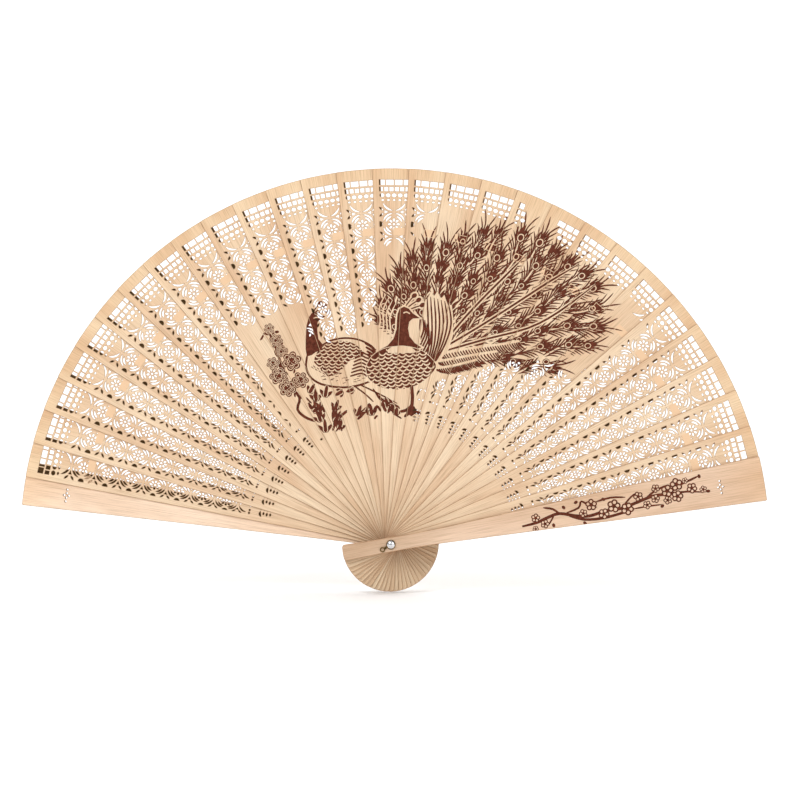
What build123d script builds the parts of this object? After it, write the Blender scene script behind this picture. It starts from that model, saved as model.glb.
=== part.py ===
"""Pierced wooden folding fan: thirty leaves turning on one rivet, spread open. Millimetres.

The fan stands open in the XZ plane with its front towards -Y. The origin is on the rivet's axis,
halfway through the stack of leaves. Angles lie in that plane, from +X towards +Z.
A leaf is drawn lengthwise: u runs from the rivet to the rim, v runs across it, clockwise side positive.
"""

import os
from math import cos, hypot, pi, radians, sin, sqrt

from build123d import *

os.makedirs("parts", exist_ok=True)

# ---- driving dimensions ----
blade_reach = 206.0  # rivet axis to the rim
tail_reach = 26.6  # rivet axis to the rounded end of the tail
border = 2.9  # plain border on each side of the fretwork
flare = 0.0457  # half-width of the fretwork field, per millimetre from the rivet
flare_start = 36.0  # where a leaf's straight sides begin
waist_at, waist_half = 5.0, 3.8  # narrowest place of a leaf
tail_half = 4.4  # half-width at the end of the tail
tip_corner, tail_corner = 0.8, 1.6  # corner radii

stick_count = 28
stick_thickness = 0.6
guard_thickness = 1.9
leaf_gap = 0.1  # free space between neighbouring leaves

rear_guard_angle = 170.9
front_guard_angle = 10.1
first_stick_angle = 166.5  # stick_01, next to the rear guard
first_pitch, last_pitch = 5.38, 5.85  # the sticks are spread a little wider towards the front guard

pin_radius = 1.3
running_clearance = 0.06
head_radius, head_height = 2.1, 0.9
washer_radius, washer_thickness = 2.4, 0.4
peened_radius, peened_height = 1.9, 0.6

tag_thickness = 0.4
tag_gap = 0.05  # free space in front of and behind the tag
tag_collar_radius = 2.6
tag_eye_reach, tag_eye_angle = 5.3, 211.0
tag_eye_radius, tag_eye_hole = 1.45, 0.8
tag_neck_width = 1.3

# ---- worked out from them ----
stack = stick_count * stick_thickness + 2 * guard_thickness + (stick_count + 1) * leaf_gap
front_face = -stack / 2
leaf_bore = pin_radius + running_clearance
pitch_growth = (last_pitch - first_pitch) / (stick_count - 1)

# ---- fretwork: seven rosettes down each stick, drawn at the first one and narrowed with the stick ----
rosette_first = 175.3
rosette_pitch = 13.54
rosette_count = 7
crossing = rosette_pitch / 2  # from a rosette's centre to the crossing of the arms above it
petal_count = 8
petal_inner, petal_outer, petal_width = 1.3, 3.4, 1.2
heart_radius = 0.65
crescent = (3.95, 5.05, 15.0, 75.0)  # inner radius, outer radius, from, to (degrees from the leaf's side)
arm = (5.5, 6.5, 17.0, 84.0)  # the same, for the long arms that sweep round each rosette
flower_at = 182.0  # the guards' pierced flower, from the rivet axis
front_flower_side, rear_flower_side = 0.6, -3.2

# The plain field, left unpierced for the burnt picture: a closed outline in (x, z).
plain_field = [
    (-85, 118), (-70, 123), (-60, 130), (-46.5, 132), (-45.5, 115), (-39, 110), (-28, 114), (-17, 116),
    (-11.5, 120), (-7, 142), (-5.5, 163), (12, 167), (12.5, 176), (32, 184), (51, 179), (68, 174),
    (72, 175), (77, 188), (93, 181), (91, 166), (98, 159), (108, 152), (124, 139), (134, 129),
    (138, 117), (118, 101), (97, 91), (84, 100), (62, 99), (34, 91), (24, 89), (15, 84), (14.5, 74.5),
    (8, 67), (-3, 60), (-28, 55), (-39, 58), (-49, 62), (-58, 68), (-66, 77), (-70, 85), (-79, 103),
]


def stick_angle(number):
    """Direction of a stick, numbered from 1 beside the rear guard."""
    step = number - 1
    return first_stick_angle - first_pitch * step - pitch_growth * step * step / 2


def side(u):
    """Half-width of a leaf on its straight flank."""
    return border + flare * u


def on_leaf(rosette_u, across, along):
    """A fretwork point, drawn about the first rosette, narrowed to where it lies on the leaf."""
    u = rosette_u + along
    return (u, across * u / rosette_first)


def eye(a, b, rise, fall):
    """A pointed opening from a to b: its two arcs stand rise and fall away from the straight line."""
    mid = ((a[0] + b[0]) / 2, (a[1] + b[1]) / 2)
    length = hypot(b[0] - a[0], b[1] - a[1])
    normal = (-(b[1] - a[1]) / length, (b[0] - a[0]) / length)
    over = (mid[0] + normal[0] * rise, mid[1] + normal[1] * rise)
    under = (mid[0] + normal[0] * fall, mid[1] + normal[1] * fall)
    return [a, over, b, under]


def both_sides(shapes):
    """Shapes (kind, points) with their mirror images across the leaf's centre line."""
    mirrored = [(kind, [(-x, y) for x, y in points]) for kind, points in shapes]
    return shapes + mirrored


def turned_over(shapes):
    """Shapes turned end for end along the leaf."""
    return [(kind, [(x, -y) for x, y in points]) for kind, points in shapes]


def ring_slot(inner, outer, start, end):
    """A crescent about a rosette's centre, pointed at both ends."""
    bow = []
    for radius, turn in (((inner + outer) / 2, start), (outer, (start + end) / 2),
                         ((inner + outer) / 2, end), (inner, (start + end) / 2)):
        bow.append((radius * cos(radians(turn)), radius * sin(radians(turn))))
    return ("eye", bow)


def rosette():
    """One rosette: heart, petals, crescents, the arms round it and a half-moon at each side."""
    heart = [("eye", eye((-heart_radius, 0), (heart_radius, 0), heart_radius, -heart_radius))]
    petals = []
    for k in range(petal_count):
        turn = 2 * pi * k / petal_count
        inner = (petal_inner * cos(turn), petal_inner * sin(turn))
        outer = (petal_outer * cos(turn), petal_outer * sin(turn))
        petals.append(("eye", eye(inner, outer, petal_width / 2, -petal_width / 2)))
    rings = both_sides([ring_slot(*crescent), ring_slot(*arm)])
    half_moons = both_sides([("eye", [(7.8, -1.5), (7.9, 0), (7.8, 1.5), (6.1, 0)])])
    return heart + petals + rings + turned_over(rings) + half_moons


def crossing_openings():
    """Where the arms of two rosettes meet: a small triangle and two slanting slots at each side."""
    slots = [("eye", eye((5.7, 0.75), (7.8, 2.6), 0.5, -0.5)), ("eye", eye((5.7, -0.75), (7.8, -2.6), 0.5, -0.5))]
    return both_sides(slots + [("panel", [(3.0, 0), (5.0, -0.9), (5.0, 0.9)])])


def panel_row(spans, height):
    """A row of four-cornered openings, each from one side position to the other."""
    row = []
    for left, right in spans:
        foot, top = -height / 2, height / 2
        row.append(("panel", [(left, foot), (right, foot), (right, top), (left, top)]))
    return row


def dot_row(centres, width, height):
    """A row of oval openings."""
    half = width / 2
    return [("eye", eye((x - half, 0), (x + half, 0), height / 2, -height / 2)) for x in centres]


def rim_rows():
    """The rows of openings under the rim, as (distance from the rivet, shapes)."""
    return [
        (198.3, both_sides(panel_row([(0.3, 4.0), (4.6, 7.4)], 3.0))),
        (194.6, both_sides(panel_row([(0.35, 2.35), (3.0, 4.9), (5.6, 7.4)], 2.4))),
        (191.2, dot_row((-6.1, -3.05, 0, 3.05, 6.1), 2.4, 2.2)),
        (188.6, dot_row((-5.8, -2.9, 0, 2.9, 5.8), 1.5, 1.1)),
    ]


def foot_rows():
    """The ornament that closes the fretwork near the rivet."""
    dashes = []
    for along, reach in ((1.3, 5.4), (-0.6, 6.2), (-2.5, 5.2)):
        dashes.append(("eye", eye((1.2, along), (reach, along), 0.5, -0.5)))
    arch = ("eye", [(1.0, 3.1), (4.8, 3.8), (8.0, 2.2), (4.4, 2.7)])
    ends = dot_row((2.6, 6.2), 2.4, 1.0)
    return [(80.4, both_sides(ends)), (71.2, both_sides(dashes + [arch]))]


def fretwork():
    """Every opening of a stick as (kind, points in u and v)."""
    end_arms = both_sides([ring_slot(*arm)])
    groups = rim_rows() + foot_rows()
    groups.append((rosette_first + rosette_pitch, turned_over(end_arms)))
    groups.append((rosette_first - rosette_count * rosette_pitch, end_arms))
    for k in range(rosette_count):
        groups.append((rosette_first - k * rosette_pitch, rosette()))
    for k in range(rosette_count + 1):
        groups.append((rosette_first + crossing - k * rosette_pitch, crossing_openings()))
    openings = []
    for u, shapes in groups:
        for kind, points in shapes:
            openings.append((kind, [on_leaf(u, x, y) for x, y in points]))
    return openings


def inside(point, outline):
    """True if a point lies within a closed outline."""
    x, z = point
    crossings = 0
    for (x1, z1), (x2, z2) in zip(outline, outline[1:] + outline[:1]):
        if (z1 > z) != (z2 > z) and x < x1 + (z - z1) * (x2 - x1) / (z2 - z1):
            crossings += 1
    return crossings % 2 == 1


def spread_point(point, angle):
    """Where a leaf's (u, v) point stands in (x, z) when the fan is open."""
    (u, v), turn = point, radians(angle)
    return (u * cos(turn) + v * sin(turn), u * sin(turn) - v * cos(turn))


def stick_openings(angle):
    """The fretwork of one stick, without what would fall in the plain field."""
    kept = []
    for kind, points in fretwork():
        centre = (sum(p[0] for p in points) / len(points), sum(p[1] for p in points) / len(points))
        if not inside(spread_point(centre, angle), plain_field):
            kept.append((kind, points))
    return kept


def guard_flower(off_centre):
    """The small pierced flower near a guard's rim, beside the leaf's centre line."""
    petals = []
    for k in range(4):
        turn = pi / 2 * k
        a = (flower_at + 0.6 * cos(turn), off_centre + 0.6 * sin(turn))
        b = (flower_at + 2.0 * cos(turn), off_centre + 2.0 * sin(turn))
        petals.append(("eye", eye(a, b, 0.55, -0.55)))
    for across in (off_centre - 3.3, off_centre + 3.3):
        petals.append(("eye", eye((flower_at - 0.6, across), (flower_at + 0.6, across), 0.6, -0.6)))
    return petals


def opening_face(kind, points):
    """One opening as a flat face on the XY plane."""
    with BuildSketch(mode=Mode.PRIVATE) as opening:
        with BuildLine():
            if kind == "eye":
                a, over, b, under = points
                ThreePointArc(a, over, b)
                ThreePointArc(b, under, a)
            else:
                Polyline(*points, close=True)
        make_face()
    return opening.sketch.faces()[0]


def leaf_plane(angle, front):
    """A plane with x along the leaf and z into the stack, at the leaf's front face."""
    turn = radians(angle)
    return Plane(origin=(0, front, 0), x_dir=(cos(turn), 0, sin(turn)), z_dir=(0, 1, 0))


def leaf(angle, front, thickness, openings):
    """One leaf of the fan, from its rounded tail to the rim, with its bore and openings."""
    tip_u = (-border * flare + sqrt(blade_reach**2 * (1 + flare**2) - border**2)) / (1 + flare**2)
    tail_u = -sqrt(tail_reach**2 - tail_half**2)
    tip, tail = (tip_u, side(tip_u)), (tail_u, tail_half)
    shoulder, waist = (flare_start, side(flare_start)), (waist_at, waist_half)
    holes = [opening_face(kind, points) for kind, points in openings]
    with BuildPart() as blade:
        with BuildSketch(Plane.XY) as outline:
            with BuildLine():
                ThreePointArc((tip[0], -tip[1]), (blade_reach, 0), tip)
                Line(tip, shoulder)
                ThreePointArc(shoulder, waist, tail)
                ThreePointArc(tail, (-tail_reach, 0), (tail[0], -tail[1]))
                ThreePointArc((tail[0], -tail[1]), (waist[0], -waist[1]), (shoulder[0], -shoulder[1]))
                Line((shoulder[0], -shoulder[1]), (tip[0], -tip[1]))
            make_face()
            fillet(outline.vertices().group_by(Axis.X)[-1], radius=tip_corner)
            fillet(outline.vertices().group_by(Axis.X)[0], radius=tail_corner)
            Circle(leaf_bore, mode=Mode.SUBTRACT)
            if holes:
                add(holes, mode=Mode.SUBTRACT)
        extrude(amount=thickness)
    return leaf_plane(angle, front).from_local_coords(blade.part)


def write(shape, name):
    shape.label = name
    export_step(shape, f"parts/{name}.step", write_pcurves=False)


# ---- leaves, from the front of the stack to the back ----
front_guard = leaf(front_guard_angle, front_face, guard_thickness, guard_flower(front_flower_side))
write(front_guard, "front_guard")

for number in range(1, stick_count + 1):
    leaves_in_front = stick_count - number
    depth = guard_thickness + leaf_gap + leaves_in_front * (stick_thickness + leaf_gap)
    angle = stick_angle(number)
    stick = leaf(angle, front_face + depth, stick_thickness, stick_openings(angle))
    write(stick, f"stick_{number:02d}")

rear_openings = guard_flower(rear_flower_side)
rear_guard = leaf(rear_guard_angle, -front_face - guard_thickness, guard_thickness, rear_openings)
write(rear_guard, "rear_guard")

# ---- rivet: a pin with a domed head in front, peened over a washer behind ----
head_seat = front_face - tag_gap - tag_thickness - tag_gap
washer_seat = -front_face
pin_end = washer_seat + washer_thickness

head_ball = (head_radius**2 + head_height**2) / (2 * head_height)
peened_ball = (peened_radius**2 + peened_height**2) / (2 * peened_height)

with BuildPart() as rivet_pin:
    with BuildSketch(Plane.XY):
        with BuildLine():
            RadiusArc((0, head_seat - head_height), (head_radius, head_seat), -head_ball)
            Polyline(
                (head_radius, head_seat), (pin_radius, head_seat),
                (pin_radius, pin_end), (peened_radius, pin_end),
            )
            RadiusArc((peened_radius, pin_end), (0, pin_end + peened_height), -peened_ball)
            Line((0, pin_end + peened_height), (0, head_seat - head_height))
        make_face()
    revolve(axis=Axis.Y)
write(rivet_pin.part, "rivet_pin")

with BuildPart() as rear_washer:
    with BuildSketch(Plane.XZ.offset(-washer_seat)):
        Circle(washer_radius)
        Circle(leaf_bore, mode=Mode.SUBTRACT)
    extrude(amount=-washer_thickness)
write(rear_washer.part, "rear_washer")

# ---- tassel tag: a thin plate held under the rivet's head, with an eye for a cord ----
eye_turn = radians(tag_eye_angle)
eye_centre = (tag_eye_reach * cos(eye_turn), tag_eye_reach * sin(eye_turn))

with BuildPart() as tassel_tag:
    with BuildSketch(Plane.XZ.offset(-(front_face - tag_gap))):
        Circle(tag_collar_radius)
        with Locations(eye_centre):
            Circle(tag_eye_radius)
        with Locations(Location((eye_centre[0] / 2, eye_centre[1] / 2, 0), (0, 0, tag_eye_angle))):
            Rectangle(tag_eye_reach, tag_neck_width)
        Circle(leaf_bore, mode=Mode.SUBTRACT)
        with Locations(eye_centre):
            Circle(tag_eye_hole, mode=Mode.SUBTRACT)
    extrude(amount=tag_thickness)
write(tassel_tag.part, "tassel_tag")

print("stack", round(stack, 2), "front guard", front_guard_angle, "rear guard", rear_guard_angle)
print("last stick", round(stick_angle(stick_count), 2))
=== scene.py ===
"""Pierced wooden folding fan: wooden leaves with a burnt picture, ribbon tabs, rivet and studio.

Shapes are worked out in millimetres in the plane of the open fan, x to the right and z up.
"""

import math
import random

import bpy
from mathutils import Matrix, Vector
from mathutils.geometry import delaunay_2d_cdt


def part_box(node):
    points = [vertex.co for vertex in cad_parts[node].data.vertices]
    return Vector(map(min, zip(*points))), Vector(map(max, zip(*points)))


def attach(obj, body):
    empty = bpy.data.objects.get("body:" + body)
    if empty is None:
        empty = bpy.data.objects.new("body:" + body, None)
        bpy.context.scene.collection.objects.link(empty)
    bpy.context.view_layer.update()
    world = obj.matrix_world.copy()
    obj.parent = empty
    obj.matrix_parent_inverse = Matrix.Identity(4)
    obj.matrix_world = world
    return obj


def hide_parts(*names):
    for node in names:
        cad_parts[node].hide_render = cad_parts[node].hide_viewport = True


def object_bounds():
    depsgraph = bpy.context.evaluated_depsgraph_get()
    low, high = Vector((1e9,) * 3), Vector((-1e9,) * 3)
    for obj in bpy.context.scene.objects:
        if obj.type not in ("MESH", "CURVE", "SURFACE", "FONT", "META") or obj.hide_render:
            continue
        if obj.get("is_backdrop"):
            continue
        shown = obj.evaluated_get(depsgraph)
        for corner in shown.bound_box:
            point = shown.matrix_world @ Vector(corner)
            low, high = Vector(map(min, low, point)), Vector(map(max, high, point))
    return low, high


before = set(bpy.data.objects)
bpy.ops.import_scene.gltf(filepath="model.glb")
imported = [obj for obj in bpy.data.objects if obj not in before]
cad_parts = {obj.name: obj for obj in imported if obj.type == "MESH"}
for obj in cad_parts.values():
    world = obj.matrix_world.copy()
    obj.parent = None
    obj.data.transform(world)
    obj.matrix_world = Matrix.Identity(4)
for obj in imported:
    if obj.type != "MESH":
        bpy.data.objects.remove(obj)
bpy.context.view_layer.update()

MM = 0.001
rng = random.Random(11)

REAR_ANGLE, FRONT_ANGLE = 170.9, 10.1
STICKS = 28
FIRST_ANGLE, FIRST_PITCH, LAST_PITCH = 166.5, 5.38, 5.85
BORDER, FLARE = 2.9, 0.0457  # a leaf's half-width is the border and this much of the distance from the rivet
CHAMFER_WIDTH, CHAMFER_DROP = 0.28, 0.1
BURN_DEPTH = 0.07
SCORCH_WIDTH = 0.2  # brown rim round each opening
PAINTED_SHADE_FROM = 60.0  # nearer the rivet than this, a leaf is neither pierced nor darkened with painted shade under the next leaf


# ---------------------------------------------------------------- plane geometry
def stick_angle(number):
    step = number - 1
    growth = (LAST_PITCH - FIRST_PITCH) / (STICKS - 1)
    return FIRST_ANGLE - FIRST_PITCH * step - growth * step * step / 2


def spread(u, v, angle):
    """A leaf's own point, u from the rivet and v across it (clockwise), where it stands in the open fan."""
    turn = math.radians(angle)
    return (u * math.cos(turn) + v * math.sin(turn), u * math.sin(turn) - v * math.cos(turn))


def gather(point, angle):
    """The opposite of spread."""
    turn = math.radians(angle)
    x, z = point
    return (x * math.cos(turn) + z * math.sin(turn), x * math.sin(turn) - z * math.cos(turn))


def area(loop):
    return sum(x1 * y2 - x2 * y1 for (x1, y1), (x2, y2) in zip(loop, loop[1:] + loop[:1])) / 2


def ccw(loop):
    return loop if area(loop) > 0 else loop[::-1]


def thin_out(loop, tolerance=0.012, longest=25.0):
    """Drops points of a closed outline that lie almost on a straight line, unless a side gets too long."""
    kept = [loop[0]]
    for here, after in zip(loop[1:], loop[2:] + loop[:1]):
        (x1, y1), (x2, y2), (x3, y3) = kept[-1], here, after
        length = math.hypot(x3 - x1, y3 - y1) or 1.0
        off = abs((x3 - x1) * (y2 - y1) - (x2 - x1) * (y3 - y1)) / length
        if off > tolerance or math.hypot(x2 - x1, y2 - y1) > longest:
            kept.append(here)
    return kept


def front_loops(node):
    """The closed outlines of a CAD leaf's front face, in mm, with the leaf's own outline first."""
    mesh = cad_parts[node].data
    front = min(v.co.y for v in mesh.vertices)
    places, where = {}, []
    for v in mesh.vertices:
        where.append(places.setdefault((round(v.co.x * 1e6), round(v.co.z * 1e6)), len(places)))
    edges = set()
    for polygon in mesh.polygons:
        corners = list(polygon.vertices)
        if all(mesh.vertices[i].co.y < front + 1e-6 for i in corners):
            for a, b in zip(corners, corners[1:] + corners[:1]):
                a, b = where[a], where[b]
                if (b, a) in edges:
                    edges.remove((b, a))
                else:
                    edges.add((a, b))
    follow = dict(sorted(edges))
    spots = {i: (x / 1000, z / 1000) for (x, z), i in places.items()}
    loops = []
    while follow:
        start, here = follow.popitem()
        loop = [spots[start]]
        while here != start:
            loop.append(spots[here])
            here = follow.pop(here)
        loops.append(ccw(loop))
    loops.sort(key=area, reverse=True)
    return [thin_out(loop) for loop in loops]


def inset(loop, by):
    """A closed outline moved inwards."""
    moved = []
    for before, here, after in zip(loop[-1:] + loop[:-1], loop, loop[1:] + loop[:1]):
        ax, ay = here[0] - before[0], here[1] - before[1]
        bx, bz = after[0] - here[0], after[1] - here[1]
        la, lb = math.hypot(ax, ay), math.hypot(bx, bz)
        nx, ny = -ay / la - bz / lb, ax / la + bx / lb
        length = math.hypot(nx, ny)
        reach = by / max(length / 2, 0.5)
        moved.append((here[0] + nx / length * reach, here[1] + ny / length * reach))
    return moved


def smooth(points, per=4):
    """A smooth path through the points."""
    ends = [points[0]] + list(points) + [points[-1]]
    path = []
    for p0, p1, p2, p3 in zip(ends, ends[1:], ends[2:], ends[3:]):
        for k in range(per):
            t = k / per
            path.append(tuple(
                0.5 * (2 * b + (c - a) * t + (2 * a - 5 * b + 4 * c - d) * t * t
                       + (3 * b - a - 3 * c + d) * t**3)
                for a, b, c, d in zip(p0, p1, p2, p3)
            ))
    return path + [tuple(points[-1])]


def line(points, width, start=0.25, end=0.2, per=3):
    """A line along a smooth path. start and end are how wide its ends are, as a part of its width."""
    path = smooth(points, per) if len(points) > 2 else list(points)
    left, right, last = [], [], len(path) - 1
    for k, here in enumerate(path):
        before, after = path[max(k - 1, 0)], path[min(k + 1, last)]
        dx, dy = after[0] - before[0], after[1] - before[1]
        length = math.hypot(dx, dy) or 1.0
        t = k / last
        half = width / 2 * min(1, start + 4 * t, end + 3 * (1 - t))
        left.append((here[0] - dy / length * half, here[1] + dx / length * half))
        right.append((here[0] + dy / length * half, here[1] - dx / length * half))
    return left + right[::-1]


def oval(x, z, a, b, tilt=0.0, sides=12):
    """An ellipse with half-axes a and b, turned by tilt in radians."""
    c, s = math.cos(tilt), math.sin(tilt)
    points = []
    for k in range(sides):
        p, q = a * math.cos(2 * math.pi * k / sides), b * math.sin(2 * math.pi * k / sides)
        points.append((x + p * c - q * s, z + p * s + q * c))
    return points


def arc(x, z, radius, start, end, count=5, squash=1.0, tilt=0.0):
    """Points along an arc, which squash flattens. start and end are in degrees, tilt in radians."""
    points = []
    for k in range(count):
        turn = math.radians(start + (end - start) * k / (count - 1))
        p, q = radius * math.cos(turn), radius * squash * math.sin(turn)
        points.append((x + p * math.cos(tilt) - q * math.sin(tilt),
                       z + p * math.sin(tilt) + q * math.cos(tilt)))
    return points


# ---------------------------------------------------------------- burnt picture
# Shapes in painting order: each is burnt (True) or bare wood (False), and covers those before it.
picture = []


def ink(shape):
    picture.append((shape, True))


def bare(shape):
    picture.append((shape, False))


def inked(shape, halo=0.9):
    """A burnt shape with a light line kept round it."""
    bare(inset(ccw(shape), -halo))
    ink(shape)


def interpolate(table, x):
    """The value at x, on straight lines between the rows of the table."""
    for (x1, y1), (x2, y2) in zip(table, table[1:]):
        if x <= x2:
            return y1 + (y2 - y1) * max(0.0, x - x1) / (x2 - x1)
    return table[-1][1]


BARB_PITCH = 1.08
FEATHER_LENGTH, FEATHER_SPACING = 22.0, 10.2
SHARE_WITH_EYE = 0.72
TRAIN_ROOT = (25.0, 104.0)
TRAIN_REACH = [  # direction in degrees, and how far the train reaches there
    (-9, 62), (-3, 82), (7, 99), (16, 103), (24, 103), (33, 102), (46, 96), (52, 93),
    (67, 78), (78, 69), (96, 65), (114, 55), (131, 47), (153, 40), (165, 34),
]


def eye(x, z, size, heading):
    """The round spot of a train feather: a dark pupil in a light ring."""
    ink(oval(x, z, 3.1 * size, 2.7 * size, heading))
    bare(oval(x, z, 2.5 * size, 2.05 * size, heading))
    ink(oval(x, z, 1.85 * size, 1.5 * size, heading, 10))


def feather(tip, heading, size, length):
    """One train feather: a bare vane combed with burnt barbs. Returns the arguments of its eye."""
    dx, dz = math.cos(heading), math.sin(heading)
    bow = rng.uniform(-0.01, 0.01)

    def at(along, across):
        across += bow * along * along
        return (tip[0] + dx * along - dz * across, tip[1] + dz * along + dx * across)

    half = 6.2 * size
    vane = [(-1.0 * size, 0.3), (-3.5 * size, 0.75), (-8.0 * size, 1.0), (-14.0 * size, 0.95),
            (-length - 1, 0.5)]
    bare([at(u, v * half) for u, v in vane] + [at(u, -v * half) for u, v in vane[::-1]])
    back = 4.0 * size
    while back < length:
        lean = 0.2 + 0.32 * min(1.0, back / (16 * size))
        for flank in (-1, 1):
            short_near_tip = min(1.0, 0.55 + 0.035 * back / size)
            reach = 0.86 * half * rng.uniform(0.85, 1.06) / math.sin(lean) * short_near_tip
            along, out = reach * math.cos(lean), flank * reach * math.sin(lean)
            barb = [
                at(-back, flank * 0.3),
                at(-back + 0.42 * along, 0.3 * out),
                at(-back + 0.75 * along, 0.66 * out),
                at(-back + along, out * rng.uniform(0.95, 1.1)),
            ]
            ink(line(barb, rng.uniform(0.68, 0.9), 0.7, 0.2, 2))
        back += BARB_PITCH / math.sin(lean)
    for k in range(-3, 4):
        side, reach = 1.1 * k * size, size * rng.uniform(5.5, 9.5) * (1 - 0.07 * abs(k))
        start = -5.5 * size - 0.3 * abs(k)
        bend = rng.uniform(-0.3, 0.3)
        hair = [
            at(start, side * 0.75),
            at(start + reach * 0.5, side + bend),
            at(start + reach, side * 1.05 + 1.6 * bend),
        ]
        ink(line(hair, rng.uniform(0.7, 1.0), 0.7, 0.15, 2))
    bare(line([at(-length - 2, 0), at(-length * 0.6, 0), at(-8.5 * size, 0)], 0.8, 0.8, 0.6))
    return (*at(-5.6 * size, rng.uniform(-0.5, 0.5)), size * rng.uniform(0.72, 0.92), heading)


def train():
    """The train: rows of feathers round its root, the outermost first."""
    # Each row's part of the reach, last direction in degrees, and size of feather.
    rows = ((1.0, 158, 1.0), (0.84, 155, 1.0), (0.69, 152, 0.95), (0.55, 147, 0.9), (0.42, 142, 0.82),
            (0.3, 128, 0.72))
    eyes = []
    for row, (part, limit, size) in enumerate(rows):
        direction = -6.0 + 3.3 * (row % 2)
        while direction < limit:
            reach = interpolate(TRAIN_REACH, direction) * (part - 0.05) * rng.uniform(0.95, 1.03)
            turn = math.radians(direction)
            tip = (TRAIN_ROOT[0] + reach * math.cos(turn), TRAIN_ROOT[1] + reach * math.sin(turn))
            lift = 14 if direction > 100 else 5 if direction > 60 else -5
            curl = math.radians(rng.uniform(-10, 10) + lift)
            size_here = size * rng.uniform(0.85, 1.1) * (0.84 if direction > 125 else 1)
            spot = feather(tip, turn - curl, size_here, min(FEATHER_LENGTH * size, reach * 0.85))
            if rng.random() < SHARE_WITH_EYE:
                eyes.append(spot)
            direction += math.degrees(FEATHER_SPACING * size_here / max(reach, 14.0))
    for spot in eyes:
        eye(*spot)
    for points in (
        [(29, 110), (38, 121), (50, 134), (62, 146), (73, 157)],
        [(30, 108), (47, 118), (66, 130), (86, 143), (103, 153)],
        [(31, 106), (52, 112), (75, 118), (92, 127), (112, 142)],
    ):
        bare(line(points, 2.6, start=0.6, end=0.3))
        ink(line(points, 1.1, start=0.8, end=0.4))


def coverts():
    """The long loose barbs hanging below the root of the train."""
    for points, drop in (
        ([(27, 103.6), (38, 105.8), (50, 107.6), (61, 109.0), (70, 110.6)], 4.6),
        ([(26, 99.6), (36, 101.4), (46, 103.2), (58, 105.0)], 4.4),
        ([(25, 95.8), (33, 97.0), (40, 98.6), (47, 100.4)], 3.8),
    ):
        path = smooth(points, 8)
        bare([(x, z + 1.0) for x, z in path] + [(x + 0.5 * drop, z - 0.8 * drop) for x, z in path[::-1]])
        for k, (x, z) in enumerate(path):
            reach = drop * rng.uniform(0.8, 1.1) * min(1.0, 0.5 + k / 8)
            end = (x + 0.85 * reach, z - reach)
            barb = [(x, z - 0.3), (x + 0.3 * reach, z - 0.55 * reach), end]
            ink(line(barb, rng.uniform(0.7, 0.95), 0.8, 0.2, 2))


def scales(x, z, a, b, tilt, radius, squash=0.85):
    """An oval of dark overlapping scale feathers, each with a light curved rim."""
    c, s = math.cos(tilt), math.sin(tilt)
    row, height = 0, b - 0.35 * radius
    while height > -b + 0.4 * radius:
        half = a * math.sqrt(max(0.0, 1 - (height / b) ** 2)) - radius * 0.4
        across = -half + (radius if row % 2 else 0.2 * radius)
        while across < half:
            px, pz = x + across * c - height * s, z + across * s + height * c
            rim = arc(px, pz, radius * rng.uniform(0.92, 1.02), 188, 352, 6, squash, tilt)
            bare(line(rim, radius * 0.36, start=0.5, end=0.5, per=2))
            across += 2.02 * radius
        row, height = row + 1, height - 1.02 * radius


def crest(stems, size):
    """Crest feathers, each a thin stem with a soft round tip."""
    for stem in stems:
        bare(line(stem, 2.6 * size, start=0.9, end=0.9))
        bare(oval(*stem[-1], 3.0 * size, 2.5 * size, 0.6, 10))
    for stem in stems:
        ink(line(stem, 0.85 * size, start=0.9, end=0.9))
        ink(oval(*stem[-1], 1.9 * size, 1.45 * size, 0.6, 9))


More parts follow.
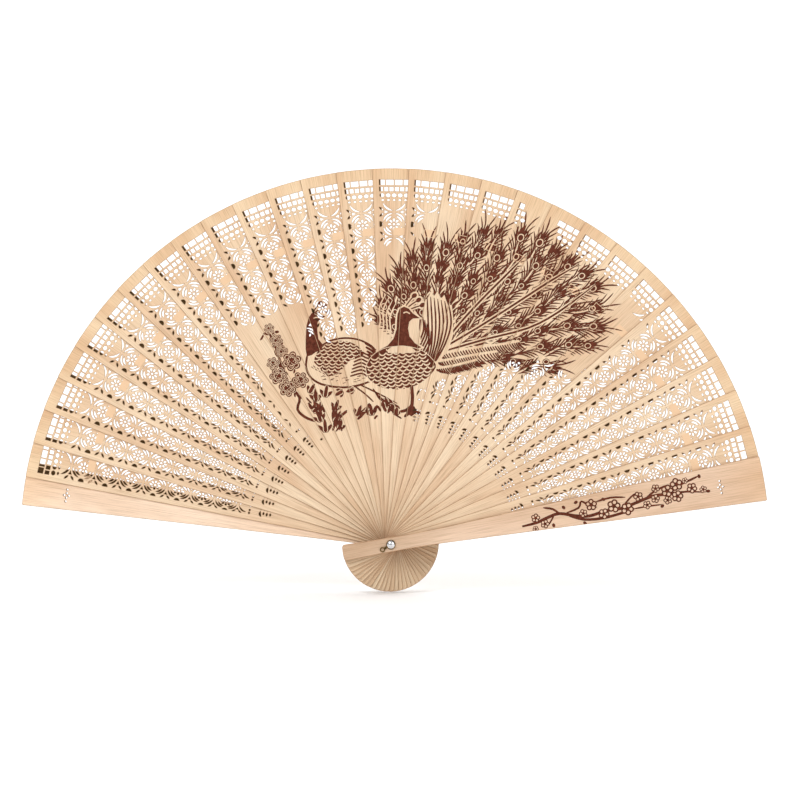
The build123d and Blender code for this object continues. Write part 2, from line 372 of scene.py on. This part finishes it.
def hen():
    """The bird on the left, without a train. Both birds look to the right."""
    x, z, a, b, tilt = -26.6, 99.2, 20.2, 13.3, 0.06
    bare(oval(x, z, a, b, tilt, 24))
    back = arc(x - 1.5, z + 0.2, 14.4, 20, 176, 14, 0.83, tilt)
    ink(back + [(-34.5, 91.5), (-29, 93.2), (-22.5, 100.5), (-16, 102.5)])
    scales(-27.6, 102.6, 14.8, 9.9, -0.04, 1.75)
    for k in range(7):
        drop = 1.95 * k
        ink(line([(-19.5 - 0.5 * k, 103.4 - drop), (-16.4, 105.0 - drop), (-13.0, 103.6 - drop),
                  (-9.4, 104.2 - drop)], 0.95, 0.8, 0.6))
    for k in range(7):
        ink(line([(-14.4 + 0.5 * k, 110.0 - 2.2 * k), (-10.0 + 0.4 * k, 107.2 - 2.2 * k),
                  (-8.2, 103.0 - 1.9 * k)], 1.3, 0.7, 0.4))
    for k in range(46):
        px, pz = rng.uniform(-43, -9), rng.uniform(87.0, 93.5)
        if ((px - x) / a) ** 2 + ((pz - z) / b) ** 2 < 0.86:
            end = (px + rng.uniform(1.0, 1.9), pz + rng.uniform(-0.1, 0.7))
            ink(line([(px, pz), end], 0.55, start=0.7, end=0.6))
    for k in range(9):
        px = -44.0 + 1.05 * k
        ink(line([(px, 97.0 - 0.55 * k + 1.1 * (k % 2)), (px + 1.3, 96.0 - 0.55 * k + 1.1 * (k % 2))], 0.6,
                 0.7, 0.7))
    ink(line([(-46.2, 103.0), (-46.8, 97.0), (-44.6, 91.6), (-39.6, 87.9), (-32.0, 86.0), (-24.0, 85.7),
              (-15.5, 87.4), (-8.0, 90.6)], 1.15, 0.8, 0.6, 4))
    ink(line([(-39.6, 107.6), (-33.5, 111.2), (-26.0, 112.7), (-18.5, 112.0), (-12.0, 109.2), (-8.2, 106.0)],
             1.0, 0.8, 0.6, 4))
    ink([(-41.6, 127.2), (-39.4, 126.2), (-36.0, 124.6), (-38.6, 123.6), (-40.4, 121.6), (-40.6, 117.0),
         (-40.0, 112.2), (-37.2, 108.8), (-38.6, 106.0), (-41.6, 105.0), (-43.6, 103.4), (-46.4, 102.6),
         (-47.1, 107.0), (-47.0, 113.5), (-46.6, 119.5), (-45.4, 124.0), (-43.6, 126.6)])
    bare(line([(-42.6, 123.6), (-40.8, 124.2), (-39.2, 123.9)], 0.7, 0.8, 0.8))
    crest(([(-42.4, 126.4), (-39.6, 128.6), (-36.6, 130.4)], [(-41.8, 126.2), (-38.6, 127.2), (-34.2, 127.2)],
           [(-42.8, 126.6), (-41.4, 129.4), (-39.0, 131.9)]), 0.8)
    for points in ([(-17, 87.0), (-11.0, 84.2), (-4.2, 80.8), (3.4, 76.8)],
                   [(-20, 86.2), (-14.5, 82.2), (-9.6, 77.6)]):
        ink(line(points, 0.85, start=0.8, end=0.5))


def wing():
    """The cock's raised wing: long light quills with dark gaps."""
    bare([(13.4, 107.0), (15.0, 112.0), (16.0, 119.0), (17.4, 127.0), (18.8, 133.6), (20.4, 135.0),
          (22.0, 138.4), (23.6, 135.6), (25.4, 138.2), (27.4, 134.6), (29.4, 135.8), (31.2, 131.0),
          (33.4, 130.8), (34.2, 123.0), (34.0, 114.0), (31.5, 106.0), (25.5, 99.0), (18.0, 99.0)])
    for k in range(7):
        t = k / 6
        ink(line([(19.0 + 5.4 * t, 98.6 + 1.2 * t), (20.8 + 9.0 * t, 109.0 + 0.6 * t),
                  (20.4 + 12.6 * t, 122.0 - 1.2 * t), (19.8 + 11.6 * t, 136.0 - 3.6 * t)], 0.95, 0.7, 0.4, 4))
    for k in range(5):
        t = k / 4
        ink(line([(13.4 + 3.6 * t, 106.6 - 5.6 * t), (16.2 + 3.4 * t, 112.4 - 6.4 * t),
                  (18.0 + 3.6 * t, 117.6 - 7.2 * t), (17.4 + 4.6 * t, 124.6 - 8.0 * t)], 1.0, 0.7, 0.4, 4))


def cock():
    """The bird with the train, in front of its raised wing."""
    wing()
    for k in range(4):
        off = 1.9 * k
        bare(line([(-7.6 - off * 0.6, 105.6 + off), (-2.2 - off, 110.0 + off), (-0.2 - off, 116.0 + off),
                   (-0.6 - off, 124.0 + off), (2.4 - off * 0.9, 131.4 + off)], 0.8, 0.7, 0.4, 4))
    crest(([(7.0, 127.6), (11.4, 131.2), (15.2, 133.6)], [(7.6, 127.2), (12.8, 129.4), (17.2, 130.8)],
           [(6.4, 127.8), (10.0, 132.8), (12.8, 136.0)]), 0.85)
    bare([(9.6, 122.6), (15.6, 123.0), (15.4, 118.0), (16.6, 110.0), (11.6, 108.6), (8.4, 112.0),
          (8.4, 118.0)])
    inked([(3.6, 125.8), (4.6, 128.6), (7.2, 130.0), (9.8, 128.8), (12.0, 126.2), (16.0, 123.6),
           (12.0, 123.4), (10.0, 121.6), (9.4, 118.0), (10.2, 113.6), (13.0, 110.0), (16.6, 107.6),
           (8.0, 104.0), (-2.0, 104.0), (-6.0, 106.4), (-1.8, 108.6), (1.4, 112.4), (3.0, 117.4),
           (3.2, 121.8)], 0.9)
    bare(line([(6.8, 126.4), (8.6, 127.0), (10.4, 126.0)], 0.7, 0.8, 0.8))
    body = smooth([(-13.8, 97.0), (-12.6, 91.0), (-7.2, 86.4), (2.0, 84.4), (11.6, 85.8), (19.2, 90.2),
                   (24.6, 96.6), (22.4, 101.2), (17.4, 105.4), (11.0, 107.6), (4.0, 108.0), (-4.0, 106.8),
                   (-10.4, 102.8), (-13.8, 97.0)], 3)[:-1]
    inked(body, 0.35)
    bare(arc(5.6, 105.4, 7.6, -16, 196, 12, 0.42))
    scales(5.2, 96.0, 18.9, 12.2, 0.1, 1.9)
    ink(line([(11.2, 86.8), (11.8, 80.4), (11.4, 74.4)], 1.9, 0.9, 0.9))
    for toe in ([(11.5, 75.6), (8.2, 73.0), (4.4, 72.2)], [(11.4, 75.0), (9.8, 71.6), (7.2, 69.4)],
                [(11.5, 75.2), (13.8, 72.4), (16.4, 71.0)]):
        ink(line(toe, 1.7, start=0.9, end=0.4))
    ink([(8.2, 71.6), (10.6, 76.4), (13.0, 75.0), (14.2, 71.8), (11.2, 69.6)])


def tuft(x, z, heading, reach, width):
    """A leaf or a blade of grass."""
    turn = math.radians(heading)
    bend = rng.uniform(-0.25, 0.25)
    mid = (x + reach * 0.55 * math.cos(turn + bend), z + reach * 0.55 * math.sin(turn + bend))
    ink(line([(x, z), mid, (x + reach * math.cos(turn), z + reach * math.sin(turn))], width, 0.3, 0.15))


def sprig(x, z, heading, reach, width):
    """A leaf of three lobes with light veins between them."""
    for side in (-1, 1, 0):
        turn = math.radians(heading + 42 * side)
        shorter = 1 - 0.25 * abs(side)
        end = (x + reach * math.cos(turn) * shorter, z + reach * math.sin(turn) * shorter)
        middle = ((x + end[0]) / 2, (z + end[1]) / 2)
        bare(line([(x, z), middle, end], width + 0.9, 0.5, 0.2))
        ink(line([(x, z), middle, end], width, 0.4, 0.1))


def peony(x, z, radius):
    """A round flower of dark curled petals with light rims."""
    turn0 = rng.uniform(0, 360)
    for part, petals, size in ((0.66, 6, 0.44), (0.3, 4, 0.34)):
        for k in range(petals):
            turn = math.radians(turn0 + 360 * k / petals)
            px, pz = x + radius * part * math.cos(turn), z + radius * part * math.sin(turn)
            inked(oval(px, pz, radius * size * 1.1, radius * size * 0.95, turn, 10), 0.22)
            rim = arc(px, pz, radius * size * 0.6, math.degrees(turn) - 75, math.degrees(turn) + 75, 5)
            bare(line(rim, radius * 0.09, 0.6, 0.6, 2))
        turn0 += 40
    ink(oval(x, z, radius * 0.15, radius * 0.15, 0, 7))


def garden():
    """Flowers, leaves and grass round the birds' feet."""
    ink(line([(-69.0, 119), (-64.0, 109), (-60.5, 98), (-56.0, 87), (-50.5, 80.0), (-51.6, 73.5),
              (-47.4, 69.2), (-42.0, 67.0)], 1.5, 0.5, 0.8))
    for k in range(40):
        t = rng.random()
        x, z = -67.5 + 17 * t + rng.uniform(-3.4, 3.4), 117 - 36 * t + rng.uniform(-3, 3)
        tuft(x, z, rng.uniform(0, 360), rng.uniform(1.8, 3.6), rng.uniform(1.0, 1.6))
    for x, z, radius in [(-67.2, 118.0, 2.6), (-63.2, 111.6, 3.1), (-60.2, 105.6, 3.0), (-54.8, 100.0, 4.9),
                         (-65.2, 98.8, 3.2), (-62.4, 91.8, 4.3), (-57.2, 85.2, 4.4), (-50.0, 89.6, 4.2)]:
        peony(x, z, radius)
    for x, z, heading, reach in [(-45.0, 82.5, 60, 6.0), (-41.2, 78.0, 95, 7.0), (-43.0, 72.0, 40, 5.6),
                                 (-36.4, 80.2, 80, 7.0), (-38.6, 66.6, 110, 7.0), (-36.0, 60.8, 95, 7.6),
                                 (-31.0, 73.2, 70, 6.0), (-31.2, 66.4, 60, 6.0), (-28.6, 62.4, 75, 5.6),
                                 (-18.6, 69.8, 70, 6.4), (-10.4, 70.2, 100, 6.6), (-26.6, 83.6, 210, 5.0),
                                 (-20.6, 84.6, 200, 4.4), (-3.0, 79.6, 285, 6.6), (0.4, 76.4, 290, 7.0),
                                 (2.6, 70.4, 80, 4.4)]:
        sprig(x, z, heading, reach, 1.9)
    for x, z, heading, count in [(-41, 76, 105, 10), (-38.5, 70.5, 80, 9), (-30.5, 70.5, 70, 9),
                                 (-30, 63.5, 85, 7), (-18, 69.5, 45, 5), (-11, 70.5, 60, 5),
                                 (-3, 72.5, 110, 4), (3.5, 71.0, 120, 4)]:
        for k in range(count):
            tuft(x + rng.uniform(-3.0, 3.0), z + rng.uniform(-2.6, 2.6), heading + rng.uniform(-30, 30),
                 rng.uniform(2.8, 6.0), rng.uniform(0.8, 1.4))
    for k in range(10):
        tuft(-10.0 + 1.15 * k, 85.0 - 1.25 * k, -48 + rng.uniform(-14, 14), rng.uniform(3.4, 6.4), 0.85)


def blossom(u, v, radius, angle):
    """A five-petalled blossom on a guard: round light petals with dark outlines."""
    turn0 = rng.uniform(0, 72)

    def disc(pu, pv, size, sides):
        return ccw([spread(p, q, angle) for p, q in oval(pu, pv, size, size, 0, sides)])

    for k in range(5):
        turn = math.radians(turn0 + 72 * k)
        petal = (u + radius * 0.6 * math.cos(turn), v + radius * 0.6 * math.sin(turn))
        ink(disc(*petal, radius * 0.52, 11))
        bare(disc(*petal, radius * 0.27, 9))
    for k in range(5):
        turn = math.radians(turn0 + 36 + 72 * k)
        end = (u + radius * 0.75 * math.cos(turn), v + radius * 0.75 * math.sin(turn))
        ink(line([spread(u, v, angle), spread(*end, angle)], radius * 0.22, 0.9, 0.7))
    ink(disc(u, v, radius * 0.24, 7))


def branch(angle):
    """The blossoming branch on the front guard."""

    def draw(points, width, start=0.6, end=0.4):
        ink(line([spread(u, v, angle) for u, v in points], width, start, end))

    draw([(72, 2.8), (80, 2.2), (86, 0.6), (93, -0.6), (101, 2.0), (109, 3.6), (118, 2.4), (127, 2.6),
          (136, 0.8), (145, -1.0), (154, -0.6), (163, -0.2), (172, 1.6)], 1.7)
    draw([(98, 1.4), (106, 5.0), (116, 6.0), (126, 5.2), (134, 4.0)], 1.5)
    draw([(93, -0.6), (90, -3.6), (85, -5.2)], 1.2)
    draw([(97, -0.2), (104, -1.8), (106, -5.0), (110, -2.0), (114, -0.4)], 1.1)
    draw([(114, -3.4), (122, -4.2), (130, -3.0)], 1.1)
    draw([(128, 1.6), (133, -2.6), (137, -4.4)], 1.0)
    draw([(140, 0.4), (146, -3.4), (154, -5.6)], 1.2)
    draw([(154, -0.6), (160, -4.2), (167, -6.2), (171, -7.4)], 1.2)
    draw([(134, 4.0), (142, 4.0), (149, 4.4)], 0.9)
    draw([(90, 0.0), (88, 2.6), (86, 4.6)], 0.9)
    for u, v, radius in [(80, -0.4, 2.3), (84.5, 3.6, 2.3), (79, 5.4, 1.6), (111, -2.2, 3.0), (123, 0.6, 3.4),
                         (130, 3.4, 3.3), (137, -2.2, 2.5), (141, 3.2, 2.2), (147, -4.8, 2.2),
                         (153, -2.4, 3.2), (158.5, -5.0, 3.3), (158, 1.4, 3.0), (166.5, -1.6, 2.7),
                         (163.5, -6.2, 1.6), (172.5, 0.2, 1.9), (117, 3.8, 2.8), (106, 1.6, 2.2),
                         (146, 0.6, 2.3), (152.5, 2.6, 2.2)]:
        blossom(u, v, radius, angle)
    for u, v in [(96, -3.4), (103, -5.0), (118, -4.0), (106, 7.0), (149, 5.2), (175, 1.6), (171.5, -7.2),
                 (89, 5.2)]:
        ink([spread(p, q, angle) for p, q in oval(u, v, 1.2, 0.9, rng.uniform(0, 3), 8)])


train()
coverts()
hen()
cock()
garden()
branch(FRONT_ANGLE)


# ---------------------------------------------------------------- materials
# Texture coordinates are in mm along and across a leaf, and each leaf starts this much further on.
LEAF_SHIFT = 400.0


def material(name, build):
    """A node material, which build fills in."""
    made = bpy.data.materials.new(name)
    made.use_nodes = True
    tree = made.node_tree
    shader = tree.nodes["Principled BSDF"]
    build(tree, shader)
    return made


def node(tree, kind, **inputs):
    """A new node with the given values in its inputs."""
    made = tree.nodes.new(kind)
    for key, value in inputs.items():
        made.inputs[key.replace("_", " ")].default_value = value
    return made


def mapped(tree, stretch, source="UV"):
    """Texture coordinates multiplied along each axis."""
    coordinates = tree.nodes.new("ShaderNodeTexCoord")
    mapping = tree.nodes.new("ShaderNodeMapping")
    mapping.inputs["Scale"].default_value = stretch
    tree.links.new(coordinates.outputs[source], mapping.inputs["Vector"])
    return mapping.outputs["Vector"]


def noise(tree, stretch, scale=1.0, detail=3.0, source="UV"):
    made = node(tree, "ShaderNodeTexNoise", Scale=scale, Detail=detail)
    tree.links.new(mapped(tree, stretch, source), made.inputs["Vector"])
    return made.outputs["Fac"]


def ramp(tree, value, stops):
    made = tree.nodes.new("ShaderNodeValToRGB")
    elements = made.color_ramp.elements
    while len(elements) < len(stops):
        elements.new(0.5)
    for element, (place, colour) in zip(elements, stops):
        element.position, element.color = place, (*colour, 1.0)
    tree.links.new(value, made.inputs["Fac"])
    return made.outputs["Color"]


def blended(tree, kind, factor, first, second):
    made = tree.nodes.new("ShaderNodeMix")
    made.data_type, made.blend_type = "RGBA", kind
    made.inputs[0].default_value = factor
    tree.links.new(first, made.inputs[6])
    tree.links.new(second, made.inputs[7])
    return made.outputs[2]


def bump(tree, shader, value, strength, distance):
    made = tree.nodes.new("ShaderNodeBump")
    made.inputs["Strength"].default_value, made.inputs["Distance"].default_value = strength, distance
    tree.links.new(value, made.inputs["Height"])
    tree.links.new(made.outputs["Normal"], shader.inputs["Normal"])


def tail_shade_tone(tree, dark, light, rim):
    """A tone that is dark from the tail to the neck of a leaf, partly as painted shade among the stacked
    tails, light further out and yellower at the rim.
    """
    coordinates = tree.nodes.new("ShaderNodeTexCoord")
    split = tree.nodes.new("ShaderNodeSeparateXYZ")
    tree.links.new(coordinates.outputs["UV"], split.inputs[0])
    place = split.outputs["X"]
    for operation, number in (("ADD", LEAF_SHIFT / 4), ("MODULO", LEAF_SHIFT), ("DIVIDE", LEAF_SHIFT)):
        step = tree.nodes.new("ShaderNodeMath")
        step.operation = operation
        step.inputs[1].default_value = number
        tree.links.new(place, step.inputs[0])
        place = step.outputs[0]
    return ramp(tree, place, [(0.25, dark), (0.36, light), (0.7, light), (0.77, rim)])


def wood(dark, mid, light, roughness=0.52):
    """Pale close-grained wood, its grain along the leaf."""

    def build(tree, shader):
        tone = ramp(tree, noise(tree, (0.011, 0.05, 1)), [(0.34, dark), (0.52, mid), (0.7, light)])
        grain = ramp(tree, noise(tree, (0.05, 2.6, 1), 1.0, 6.0),
                     [(0.32, (0.66, 0.59, 0.52)), (0.5, (0.96, 0.94, 0.92)), (0.68, (1.07, 1.06, 1.05))])
        pores = ramp(tree, noise(tree, (0.35, 9.0, 1), 1.0, 2.0), [(0.27, (0.8, 0.72, 0.64)),
                                                                   (0.36, (1, 1, 1))])
        colour = blended(tree, "MULTIPLY", 0.75, tone, grain)
        colour = blended(tree, "MULTIPLY", 0.75, colour, pores)
        # Darker from the tail to the neck: partly painted shade among the stacked tails.
        colour = blended(tree, "MULTIPLY", 1.0, colour, tail_shade_tone(tree, (0.84, 0.83, 0.8), (1, 1, 1),
                                                                (1, 0.95, 0.86)))
        tree.links.new(colour, shader.inputs["Base Color"])
        shader.inputs["Roughness"].default_value = roughness
        shader.inputs["Specular IOR Level"].default_value = 0.35
        bump(tree, shader, noise(tree, (0.06, 3.4, 1), 1.0, 5.0), 0.25, 0.00005)

    return build


def stained(dark, light, stretch, roughness):
    """An uneven dull colour."""

    def build(tree, shader):
        colour = ramp(tree, noise(tree, stretch, 1.0, 4.0), [(0.3, dark), (0.7, light)])
        tree.links.new(colour, shader.inputs["Base Color"])
        shader.inputs["Roughness"].default_value = roughness
        shader.inputs["Specular IOR Level"].default_value = 0.08

    return build


def metal(dark, light, roughness, scale):
    """Metal with a faint uneven haze."""

    def build(tree, shader):
        haze = noise(tree, (1, 1, 1), scale, 4.0, "Object")
        tree.links.new(ramp(tree, haze, [(0.3, dark), (0.7, light)]), shader.inputs["Base Color"])
        shader.inputs["Metallic"].default_value = 1.0
        shader.inputs["Roughness"].default_value = roughness
        bump(tree, shader, haze, 0.15, 0.00003)

    return build


def ribbon_cloth(tree, shader):
    weave = noise(tree, (6.0, 6.0, 1), 1.0, 2.0)
    colour = ramp(tree, weave, [(0.3, (0.69, 0.45, 0.26)), (0.7, (0.79, 0.55, 0.35))])
    tree.links.new(colour, shader.inputs["Base Color"])
    shader.inputs["Roughness"].default_value = 0.7
    shader.inputs["Sheen Weight"].default_value = 0.2
    bump(tree, shader, weave, 0.4, 0.00004)


stick_wood = material("stick_wood", wood((0.66, 0.445, 0.28), (0.745, 0.56, 0.382), (0.81, 0.65, 0.465)))
guard_wood = material("guard_wood", wood((0.63, 0.425, 0.28), (0.69, 0.49, 0.345), (0.76, 0.56, 0.41)))
pale_guard_wood = material("pale_guard_wood", wood((0.76, 0.55, 0.39), (0.84, 0.64, 0.48), (0.9, 0.71, 0.55)))
burnt_wood = material("burnt_wood", stained((0.062, 0.016, 0.009), (0.15, 0.04, 0.022), (0.6, 0.6, 1), 0.85))
scorched_wall = material("scorched_wall", stained((0.12, 0.06, 0.028), (0.3, 0.17, 0.085), (0.5, 0.5, 1),
                                                  0.8))
# Near-black painted shade for the parts of a leaf that lie under its neighbour, seen through the openings.
painted_shade_wood = material("painted_shade_wood", stained((0.035, 0.02, 0.008), (0.1, 0.055, 0.02), (0.4, 1.0, 1), 0.8))
# Brown for cut edges, chamfers and rims of openings: laser scorch, and also painted shade for the dark lines
# between stacked leaves.
scorched_and_shaded_edge = material("scorched_and_shaded_edge", stained((0.3, 0.17, 0.095), (0.56, 0.36, 0.22), (0.1, 3.0, 1), 0.6))
rivet_metal = material("rivet_metal", metal((0.62, 0.62, 0.63), (0.78, 0.78, 0.79), 0.16, 900.0))
tag_brass = material("tag_brass", metal((0.07, 0.045, 0.02), (0.24, 0.15, 0.06), 0.42, 700.0))
ribbon = material("ribbon", ribbon_cloth)

for name, look in (("rivet_pin", rivet_metal), ("rear_washer", rivet_metal), ("tassel_tag", tag_brass)):
    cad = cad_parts[name]
    cad.data.materials.clear()
    cad.data.materials.append(look)


# ---------------------------------------------------------------- leaves
STRIP = 12.0  # half-width of the strip round a leaf
OFF_STRIP = 40.0  # a shape whose middle is further than this from the leaf's axis is passed over
PAST_RIVET = 20.0  # and so is one that reaches no further than this from the rivet


def across_leaf(angle):
    """The part of the picture that reaches into a strip along a leaf."""
    kept = []
    for shape, burnt in picture:
        sides = [gather(p, angle) for p in shape]
        middle = sum(v for u, v in sides) / len(sides)
        if abs(middle) < OFF_STRIP and max(u for u, v in sides) > PAST_RIVET:
            if max(v for u, v in sides) > -STRIP and min(v for u, v in sides) < STRIP:
                kept.append((ccw(shape), burnt))
    return kept


FACE, BURNT, WALL, PAINTED_SHADE, EDGE = range(5)  # material slots of a leaf; the fourth is painted shade where a leaf lies under its neighbour
OUTER, FLAT, HOLE, COVER, BACKING, SCORCHED, DRAWN = range(7)  # what an outline on a leaf stands for


def plate(piece, body, angle, loops, front, back, made_of, cover=(), backing=(), eased=CHAMFER_DROP,
          burn=BURN_DEPTH):
    """A flat piece riding on a leaf, with the picture burnt into its open part.

    loops are its outline and its openings; cover and backing are the outlines over it and behind it.
    front and back are in mm, eased is how far its edges drop, and burn is how deep the picture lies.
    made_of holds its materials: face, burnt, walls of openings, painted shade under the neighbouring leaves,
    edge.
    """
    outline, holes = loops[0], loops[1:]
    drawn = across_leaf(angle)
    scorched = [inset(hole, -SCORCH_WIDTH) for hole in holes]
    groups = [[outline], [inset(outline, CHAMFER_WIDTH)], holes, cover, backing, scorched]
    groups += [[shape] for shape, burnt in drawn]
    points, faces, kinds = [], [], []
    for kind, group in enumerate(groups):
        for loop in group:
            faces.append(list(range(len(points), len(points) + len(loop))))
            points += [Vector(p) for p in loop]
            kinds.append(kind)
    spots, _, triangles, _, _, sources = delaunay_2d_cdt(points, [], faces, 1, 1e-5, True)
    own = [gather(p, angle) for p in spots]

    kept, in_hole = [], set()
    for triangle, source in zip(map(list, triangles), sources):
        inside = {kinds[s] for s in source}
        if HOLE in inside:
            in_hole.update(zip(triangle, triangle[1:] + triangle[:1]))
        if OUTER not in inside or HOLE in inside:
            continue
        # Beyond this distance from the rivet, the front under the next leaf and the back over the leaf behind
        # get the dark painted shade.
        far = sum(own[k][0] for k in triangle) > 3 * PAINTED_SHADE_FROM
        last = max(inside)
        plain = FACE if FLAT in inside and SCORCHED not in inside else EDGE
        in_painted_shade = FLAT in inside and far
        if COVER in inside:
            shown = PAINTED_SHADE if in_painted_shade else plain
        else:
            shown = BURNT if FLAT in inside and last >= DRAWN and drawn[last - DRAWN][1] else plain
        hidden = PAINTED_SHADE if BACKING in inside and in_painted_shade else plain
        kept.append((triangle, shown, hidden))

    beside = {}  # each side of a kept triangle, and whether that triangle is burnt
    for corners, shown, hidden in kept:
        for a, b in zip(corners, corners[1:] + corners[:1]):
            beside[(a, b)] = shown == BURNT
    rim = {(a, b) for a, b in beside if (b, a) not in beside and (b, a) not in in_hole}
    on_rim = {k for edge in rim for k in edge}

    vertices, number = [], {}

    def vertex(spot, level):
        key = (spot, level)
        if key not in number:
            drop = eased if spot in on_rim else 0.0
            depth = {"top": front + drop, "burn": front + burn, "back": back - drop}[level]
            number[key] = len(vertices)
            vertices.append((spots[spot].x * MM, depth * MM, spots[spot].y * MM))
        return number[key]

    polygons, slots, coordinates = [], [], []

    def add(corners, slot):
        polygons.append([vertex(spot, level) for spot, level in corners])
        slots.append(slot)
        coordinates.append([own[spot] for spot, level in corners])

    for corners, shown, hidden in kept:
        level = "burn" if shown == BURNT else "top"
        add([(k, level) for k in corners], shown)
        add([(k, "back") for k in reversed(corners)], hidden)
        for a, b in zip(corners, corners[1:] + corners[:1]):
            other = beside.get((b, a))
            if other is None:
                add([(b, level), (a, level), (a, "back"), (b, "back")], EDGE if (a, b) in rim else WALL)
            elif other and shown != BURNT:
                add([(b, "top"), (a, "top"), (a, "burn"), (b, "burn")], BURNT)
    mesh = bpy.data.meshes.new(piece)
    mesh.from_pydata(vertices, [], polygons)
    mesh.polygons.foreach_set("material_index", slots)
    uv = mesh.uv_layers.new(name="grain")
    shift = LEAF_SHIFT * (names.index(body) + 1)
    uv.data.foreach_set("uv", [c for corners in coordinates for u, v in corners for c in (u + shift, v)])
    for look in made_of:
        mesh.materials.append(look)
    made = bpy.data.objects.new(piece, mesh)
    bpy.context.scene.collection.objects.link(made)
    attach(made, body)
    return made


names = ["rear_guard"] + [f"stick_{k:02d}" for k in range(1, STICKS + 1)] + ["front_guard"]
angles = [REAR_ANGLE] + [stick_angle(k) for k in range(1, STICKS + 1)] + [FRONT_ANGLE]
outlines = {name: front_loops(name) for name in names}

for k, (name, angle) in enumerate(zip(names, angles)):
    over = [inset(outlines[names[k + 1]][0], CHAMFER_WIDTH)] if k + 1 < len(names) else []
    under = [inset(outlines[names[k - 1]][0], CHAMFER_WIDTH)] if k else []
    low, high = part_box(name)
    face = {"rear_guard": pale_guard_wood, "front_guard": guard_wood}.get(name, stick_wood)
    made_of = (face, burnt_wood, scorched_wall, painted_shade_wood, scorched_and_shaded_edge)
    wooden = plate(name + "_wood", name, angle, outlines[name], low.y / MM, high.y / MM, made_of, over, under)
    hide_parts(name)


# ---------------------------------------------------------------- ribbon tabs
TAB_AT, TAB_LENGTH, TAB_WIDTH, TAB_SHOWN = 171.3, 4.2, 7.6, 6.4
GUARD_TAB_SHOWN = 0.6  # the rear guard's tab lies almost wholly under the first stick
TAB_THICKNESS, TAB_LIFT, TAB_BURN = 0.06, 0.02, 0.02

for name, angle, next_angle in zip(names, angles, angles[1:]):
    # Glued to the leaf's front, running under the next leaf.
    edge = gather(spread(TAB_AT, -BORDER - FLARE * TAB_AT, next_angle), angle)[1]
    shown = GUARD_TAB_SHOWN if name == "rear_guard" else TAB_SHOWN
    corners = [spread(TAB_AT + u * TAB_LENGTH / 2, edge - shown + v * TAB_WIDTH, angle)
               for u, v in ((-1, 0), (1, 0), (1, 1), (-1, 1))]
    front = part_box(name)[0].y / MM - TAB_LIFT
    made_of = (ribbon, burnt_wood, ribbon, ribbon, ribbon)
    plate(name + "_tab", name, angle, [ccw(corners)], front - TAB_THICKNESS, front, made_of, eased=0.0,
          burn=TAB_BURN)


# ---------------------------------------------------------------- stage, light and camera
def backdrop():
    """A pale floor that curves up into a wall behind the fan."""
    floor, bend, front, back, width, top = -0.0275, 0.5, -3.0, 1.0, 4.0, 3.5
    profile = [(front, floor), (back, floor)]
    steps = 12
    for k in range(1, steps + 1):
        turn = math.pi / 2 * k / steps
        profile.append((back + bend * math.sin(turn), floor + bend * (1 - math.cos(turn))))
    profile.append((back + bend, top))
    vertices = [(x, y, z) for y, z in profile for x in (-width, width)]
    faces = [(2 * k, 2 * k + 1, 2 * k + 3, 2 * k + 2) for k in range(len(profile) - 1)]
    mesh = bpy.data.meshes.new("studio_floor")
    mesh.from_pydata(vertices, [], faces)
    mesh.polygons.foreach_set("use_smooth", [True] * len(faces))
    mesh.materials.append(material("studio_paper", paper))
    made = bpy.data.objects.new("studio_floor", mesh)
    bpy.context.scene.collection.objects.link(made)
    made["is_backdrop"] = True


def paper(tree, shader):
    """Dull near-white paper."""
    shade = noise(tree, (1, 1, 1), 3.0, 2.0, "Object")
    tree.links.new(ramp(tree, shade, [(0.3, (0.9, 0.9, 0.9)), (0.7, (0.93, 0.93, 0.93))]),
                   shader.inputs["Base Color"])
    shader.inputs["Roughness"].default_value = 0.9


def lamp(name, place, aim, size, power):
    """A square area light that points from its place at aim. Power is in watts."""
    data = bpy.data.lights.new(name, "AREA")
    data.size, data.energy = size, power
    made = bpy.data.objects.new(name, data)
    made.location = place
    made.rotation_euler = (Vector(aim) - Vector(place)).to_track_quat("-Z", "Y").to_euler()
    bpy.context.scene.collection.objects.link(made)
    made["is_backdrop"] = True


backdrop()
FAN_MIDDLE = (0, 0, 0.1)
lamp("key_light", (-1.1, -1.6, 1.6), FAN_MIDDLE, 1.2, 30.5)
lamp("fill_light", (1.4, -1.5, 0.9), FAN_MIDDLE, 1.4, 13.6)
lamp("wall_light", (0.0, 0.45, 1.9), (0, 1.5, 0.2), 1.5, 24.0)

WORLD_STRENGTH = 0.42
world = bpy.data.worlds.new("studio")
world.use_nodes = True
world.node_tree.nodes["Background"].inputs["Color"].default_value = (1, 1, 1, 1)
world.node_tree.nodes["Background"].inputs["Strength"].default_value = WORLD_STRENGTH
scene = bpy.context.scene
scene.world = world
scene.view_settings.view_transform = "Standard"

LENS, SENSOR = 85.0, 36.0
FRAME_WIDTH, FRAME_CENTRE = 0.44, (0.00495, 0.07865)
camera = bpy.data.objects.new("camera", bpy.data.cameras.new("camera"))
camera.data.lens, camera.data.sensor_width = LENS, SENSOR
camera.location = (FRAME_CENTRE[0], -FRAME_WIDTH * LENS / SENSOR, FRAME_CENTRE[1])
camera.rotation_euler = (math.radians(90), 0, 0)
scene.collection.objects.link(camera)
scene.camera = camera

low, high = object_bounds()
